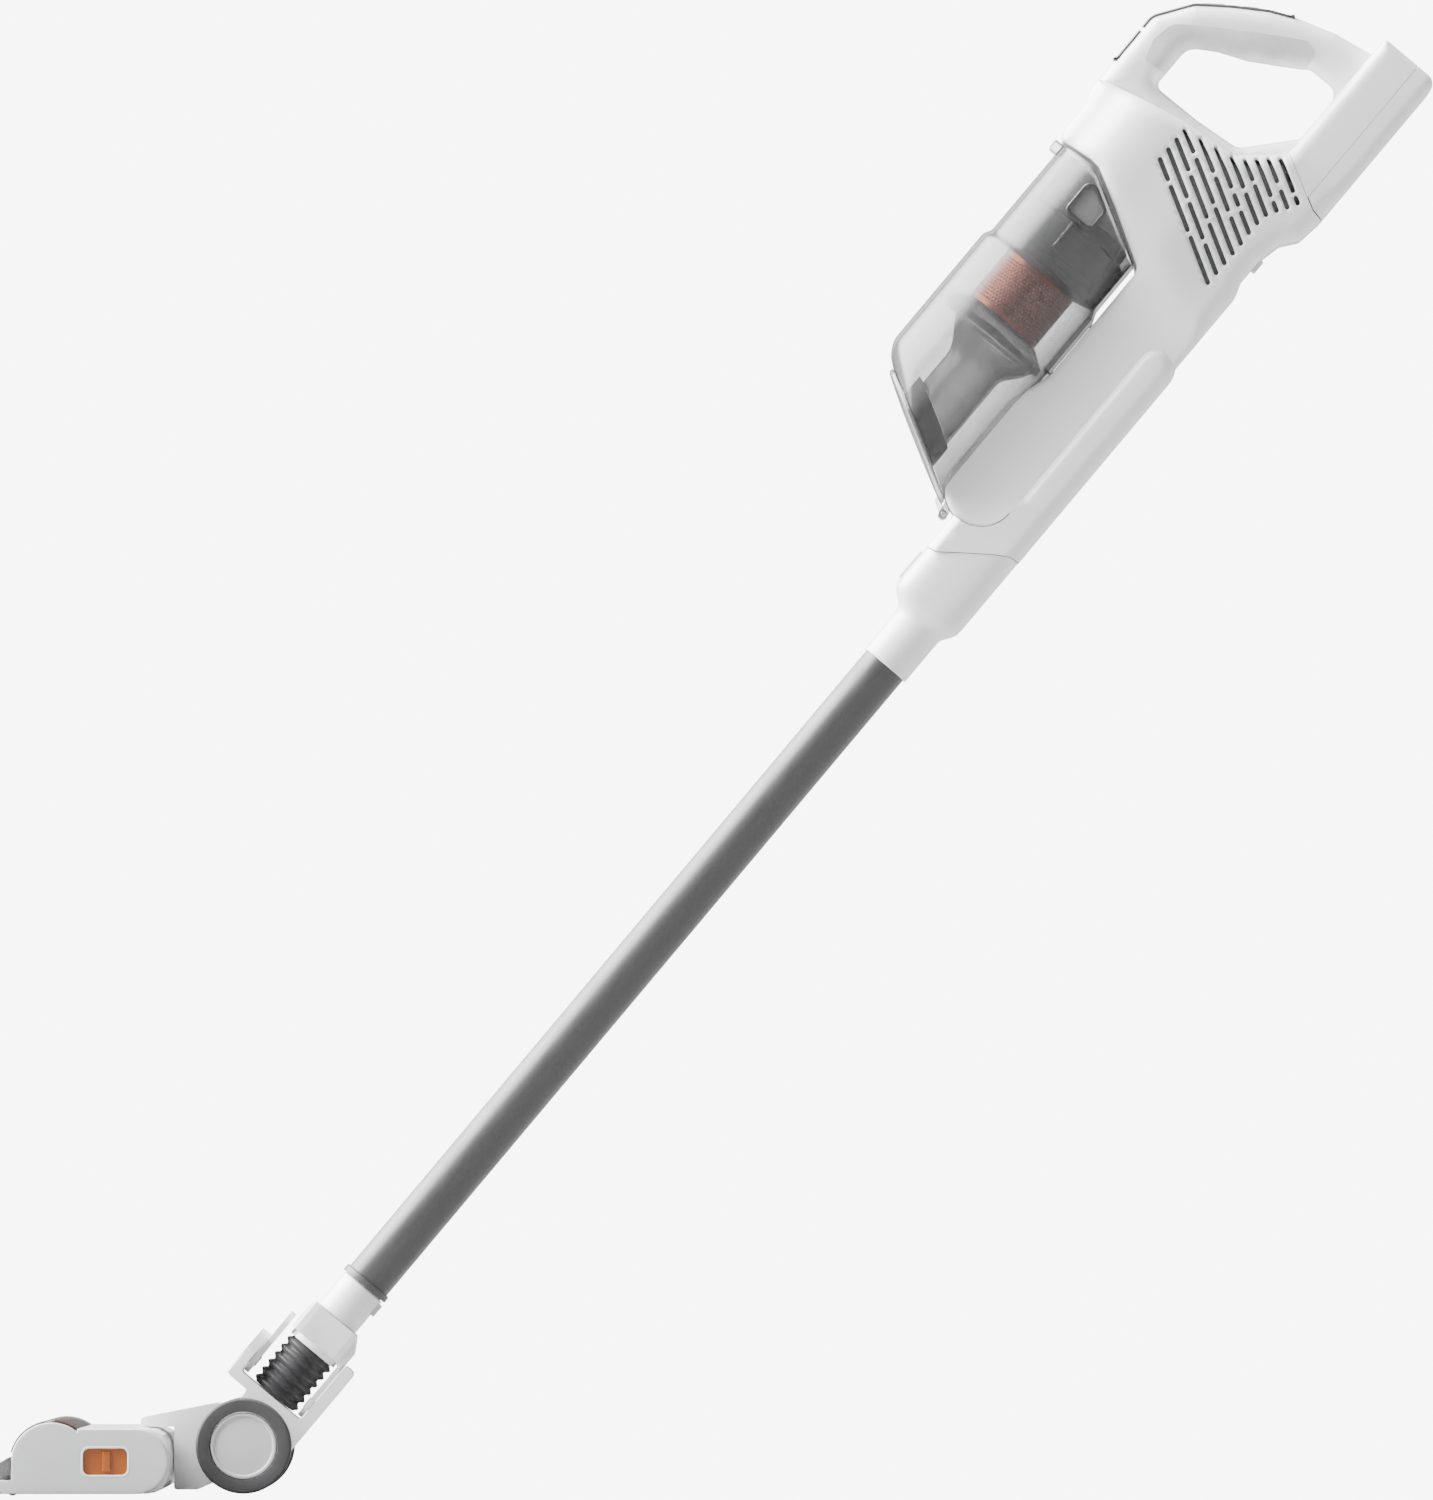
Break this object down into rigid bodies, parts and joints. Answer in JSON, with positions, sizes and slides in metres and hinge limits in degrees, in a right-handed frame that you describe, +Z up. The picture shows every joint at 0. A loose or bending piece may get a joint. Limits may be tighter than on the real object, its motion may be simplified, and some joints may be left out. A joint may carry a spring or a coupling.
{
  "type": "cordless stick vacuum",
  "caption": "Cordless stick vacuum: hand unit with loop handle, clear dust bin and rear battery, on a slim wand with a hinged, wheeled powered floor head.",
  "frame": {"origin": "middle of the footprint, on the floor that the wheels and the head's rollers stand on", "axes": "+Z up; the floor head points to -X and the wand leans back towards +X; +Y is the user's right"},
  "size_m": [0.9306, 0.25, 0.9699],
  "materials": {
    "white_gloss": "moulded, glossy white",
    "panel_grey": "moulded, satin light grey",
    "soft_grey": "matt light grey",
    "grip": "soft-touch light grey",
    "dark_plastic": "satin dark grey",
    "tyre": "matt grey rubber",
    "hub": "satin grey",
    "black_rubber": "matt black",
    "bristle": "nylon bristle",
    "wand_tube": "painted graphite",
    "steel": "bright",
    "mesh": "perforated, copper tinted",
    "smoke": "smoky clear plastic",
    "lens": "dark smoky clear plastic",
    "brush_window": "brown tinted clear plastic",
    "orange": "glossy orange",
    "foam": "open foam",
    "cells": "shrink sleeve",
    "board": "solder resist"
  },
  "bodies": {
    "handheld": {"housing_left": "white_gloss", "housing_right": "white_gloss", "housing_screw": "steel", "rear_duct": "white_gloss", "port_pipe": "dark_plastic", "handle_frame": "white_gloss", "soft_grip": "grip", "control_strip": "dark_plastic", "fan_motor": "steel", "exhaust_filter": "foam", "control_board": "board"},
    "impeller": {"impeller": "steel"},
    "power_button": {"power_button": "soft_grey"},
    "mode_button": {"mode_button": "soft_grey"},
    "battery": {"battery_cover": "white_gloss", "battery_cells": "cells"},
    "battery_release": {"battery_release": "soft_grey"},
    "dust_bin": {"bin_shell": "smoke", "bin_port_frame": "white_gloss", "shroud_holder": "soft_grey", "mesh_screen": "mesh", "filter_cartridge": "foam", "shroud_flange": "panel_grey", "shroud_cone": "soft_grey", "door_pin": "steel"},
    "bin_button_left": {"bin_button_left": "smoke"},
    "bin_button_right": {"bin_button_right": "smoke"},
    "bin_door": {"bin_door": "smoke", "door_seal": "black_rubber"},
    "wand": {"wand_connector": "white_gloss", "wand_tube": "wand_tube", "tube_collar": "dark_plastic"},
    "wand_button": {"wand_button": "soft_grey"},
    "neck": {"neck_tube": "white_gloss", "swivel_housing": "white_gloss", "swivel_hose": "black_rubber"},
    "neck_button": {"neck_button": "soft_grey"},
    "yoke": {"yoke": "white_gloss", "pivot_pin_front": "steel", "pivot_pin_rear": "steel"},
    "head": {"head_cover": "white_gloss", "side_panel_left": "panel_grey", "side_panel_right": "panel_grey", "brush_window": "brush_window", "front_lens": "lens", "front_bumper": "white_gloss", "sole_plate": "dark_plastic", "brush_motor": "steel", "drive_belt": "black_rubber", "carriage": "white_gloss", "axle": "steel"},
    "brush_latch": {"brush_latch": "orange"},
    "brush": {"brush_roll": "bristle"},
    "motor_pulley": {"motor_pulley": "dark_plastic"},
    "front_roller_left": {"front_roller_left": "dark_plastic"},
    "front_roller_right": {"front_roller_right": "dark_plastic"},
    "wheel_left": {"wheel_hub_left": "hub", "tyre_left": "tyre"},
    "wheel_right": {"wheel_hub_right": "hub", "tyre_right": "tyre"}
  },
  "joints": [
    {"name": "bin_pull", "type": "slide", "parent": "handheld", "child": "dust_bin", "axis": [-0.766, 0, 0.6428], "range_m": [0, 0.11]},
    {"name": "bin_door_swing", "type": "hinge", "parent": "dust_bin", "child": "bin_door", "pos_m": [0.14661, 0, 0.63589], "axis": [0, -1, 0], "range_deg": [0, 75]},
    {"name": "bin_button_left_press", "type": "slide", "parent": "dust_bin", "child": "bin_button_left", "axis": [0, 1, 0], "range_m": [0, 0.0025], "stiffness_N_per_m": 400},
    {"name": "bin_button_right_press", "type": "slide", "parent": "dust_bin", "child": "bin_button_right", "axis": [0, -1, 0], "range_m": [0, 0.0025], "stiffness_N_per_m": 400},
    {"name": "battery_pull", "type": "slide", "parent": "handheld", "child": "battery", "axis": [0.766, 0, -0.6428], "range_m": [0, 0.05]},
    {"name": "battery_release_press", "type": "slide", "parent": "handheld", "child": "battery_release", "axis": [-0.766, 0, 0.6428], "range_m": [0, 0.0025], "stiffness_N_per_m": 400},
    {"name": "power_button_press", "type": "slide", "parent": "handheld", "child": "power_button", "axis": [-0.0541, 0, -0.9985], "range_m": [0, 0.001], "stiffness_N_per_m": 600},
    {"name": "mode_button_press", "type": "slide", "parent": "handheld", "child": "mode_button", "axis": [-0.1219, 0, -0.9925], "range_m": [0, 0.001], "stiffness_N_per_m": 600},
    {"name": "fan_spin", "type": "hinge", "parent": "handheld", "child": "impeller", "pos_m": [0.28635, 0, 0.82344], "axis": [0.6428, 0, 0.766], "continuous": true},
    {"name": "wand_pull", "type": "slide", "parent": "handheld", "child": "wand", "axis": [-0.6428, 0, -0.766], "range_m": [0, 0.06]},
    {"name": "wand_button_press", "type": "slide", "parent": "wand", "child": "wand_button", "axis": [0.766, 0, -0.6428], "range_m": [0, 0.002], "stiffness_N_per_m": 400},
    {"name": "neck_pull", "type": "slide", "parent": "wand", "child": "neck", "axis": [-0.6428, 0, -0.766], "range_m": [0, 0.05]},
    {"name": "neck_button_press", "type": "slide", "parent": "neck", "child": "neck_button", "axis": [-0.766, 0, 0.6428], "range_m": [0, 0.002], "stiffness_N_per_m": 400},
    {"name": "steer", "type": "hinge", "parent": "neck", "child": "yoke", "pos_m": [-0.28231, 0, 0.07182], "axis": [0.766, 0, -0.6428], "range_deg": [-60, 60], "deforming": ["swivel_hose"]},
    {"name": "pitch", "type": "hinge", "parent": "yoke", "child": "head", "pos_m": [-0.30678, 0, 0.031], "axis": [0, 1, 0], "range_deg": [-40, 40]},
    {"name": "wheel_left_spin", "type": "hinge", "parent": "head", "child": "wheel_left", "pos_m": [-0.30678, -0.041, 0.031], "axis": [0, 1, 0], "continuous": true},
    {"name": "wheel_right_spin", "type": "hinge", "parent": "head", "child": "wheel_right", "pos_m": [-0.30678, 0.041, 0.031], "axis": [0, 1, 0], "continuous": true},
    {"name": "front_roller_left_spin", "type": "hinge", "parent": "head", "child": "front_roller_left", "pos_m": [-0.45278, -0.1147, 0.0035], "axis": [0, 1, 0], "continuous": true},
    {"name": "front_roller_right_spin", "type": "hinge", "parent": "head", "child": "front_roller_right", "pos_m": [-0.45278, 0.1147, 0.0035], "axis": [0, 1, 0], "continuous": true},
    {"name": "brush_spin", "type": "hinge", "parent": "head", "child": "brush", "pos_m": [-0.42778, 0, 0.021], "axis": [0, 1, 0], "continuous": true},
    {"name": "motor_pulley_spin", "type": "hinge", "parent": "head", "child": "motor_pulley", "pos_m": [-0.38278, 0.103, 0.024], "axis": [0, 1, 0], "continuous": true},
    {"name": "brush_latch_slide", "type": "slide", "parent": "head", "child": "brush_latch", "axis": [-1, 0, 0], "range_m": [0, 0.006]}
  ],
  "couplings": [
    {"joint": "motor_pulley_spin", "follows": "brush_spin", "ratio": 1.8}
  ]
}
